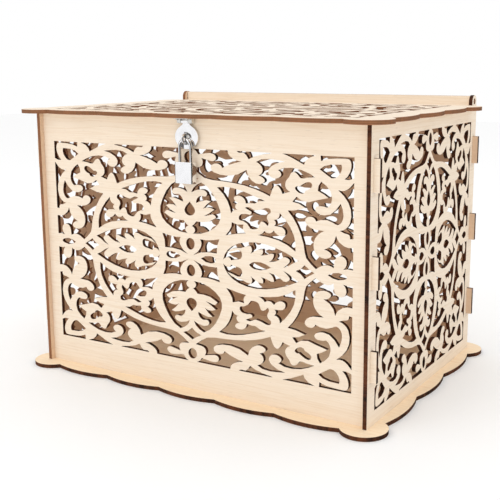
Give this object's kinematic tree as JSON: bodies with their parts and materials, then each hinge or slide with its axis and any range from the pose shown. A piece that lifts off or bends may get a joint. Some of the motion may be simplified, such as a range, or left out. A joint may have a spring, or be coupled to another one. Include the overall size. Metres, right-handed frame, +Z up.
{
  "type": "wedding card box",
  "caption": "Rectangular fretted plywood card box with a hinged lid, a card slot, scalloped base and lid edges, and a hasp held by a small padlock.",
  "frame": {"origin": "centre of the base's underside, under the middle of the box", "axes": "+X towards the right end as seen from the front, -Y towards the front, +Z up"},
  "size_m": [0.316, 0.232, 0.2183],
  "materials": {
    "panel_ply": "satin, cut edges burnt brown",
    "base_ply": "satin, cut edges burnt brown",
    "nickel": "nickel plated",
    "bright_nickel": "polished",
    "plug_brass": "satin",
    "spring_steel": "bare"
  },
  "bodies": {
    "box": {"base_plate": "base_ply", "front_panel": "panel_ply", "back_panel": "panel_ply", "left_side": "panel_ply", "right_side": "panel_ply", "staple_plate": "nickel", "staple": "bright_nickel", "staple_screws": "nickel"},
    "lid": {"lid_panel": "panel_ply", "hinge_rail": "panel_ply", "hasp_lid_plate": "nickel", "hasp_lid_screws": "nickel", "hasp_pin": "bright_nickel"},
    "leaf": {"hasp_leaf": "bright_nickel"},
    "shackle": {"padlock_shackle": "bright_nickel"},
    "padlock": {"padlock_body": "bright_nickel", "shackle_spring": "spring_steel"},
    "key_plug": {"lock_plug": "plug_brass"},
    "latch": {"lock_latch": "nickel"}
  },
  "joints": [
    {"name": "lid_hinge", "type": "hinge", "parent": "box", "child": "lid", "pos_m": [0, 0.0974, 0.2133], "axis": [-1, 0, 0], "range_deg": [0, 105]},
    {"name": "hasp_swing", "type": "hinge", "parent": "lid", "child": "leaf", "pos_m": [0, -0.1019, 0.2045], "axis": [1, 0, 0], "range_deg": [0, 90.01]},
    {"name": "padlock_swing", "type": "hinge", "parent": "box", "child": "shackle", "pos_m": [0, -0.1029, 0.1915], "axis": [-1, 0, 0], "range_deg": [0, 75]},
    {"name": "padlock_drop", "type": "slide", "parent": "shackle", "child": "padlock", "axis": [0, 0, -1], "range_m": [0, 0.0075], "deforming": ["shackle_spring"]},
    {"name": "key_turn", "type": "hinge", "parent": "padlock", "child": "key_plug", "pos_m": [0, -0.1029, 0.1601], "axis": [0, 0, 1], "range_deg": [0, 90]},
    {"name": "latch_slide", "type": "slide", "parent": "padlock", "child": "latch", "axis": [-1, 0, 0], "range_m": [0, 0.0023]}
  ],
  "couplings": [
    {"joint": "hasp_swing", "follows": "lid_hinge", "ratio": 0.85714},
    {"joint": "latch_slide", "follows": "padlock_drop", "ratio": 0.3}
  ]
}
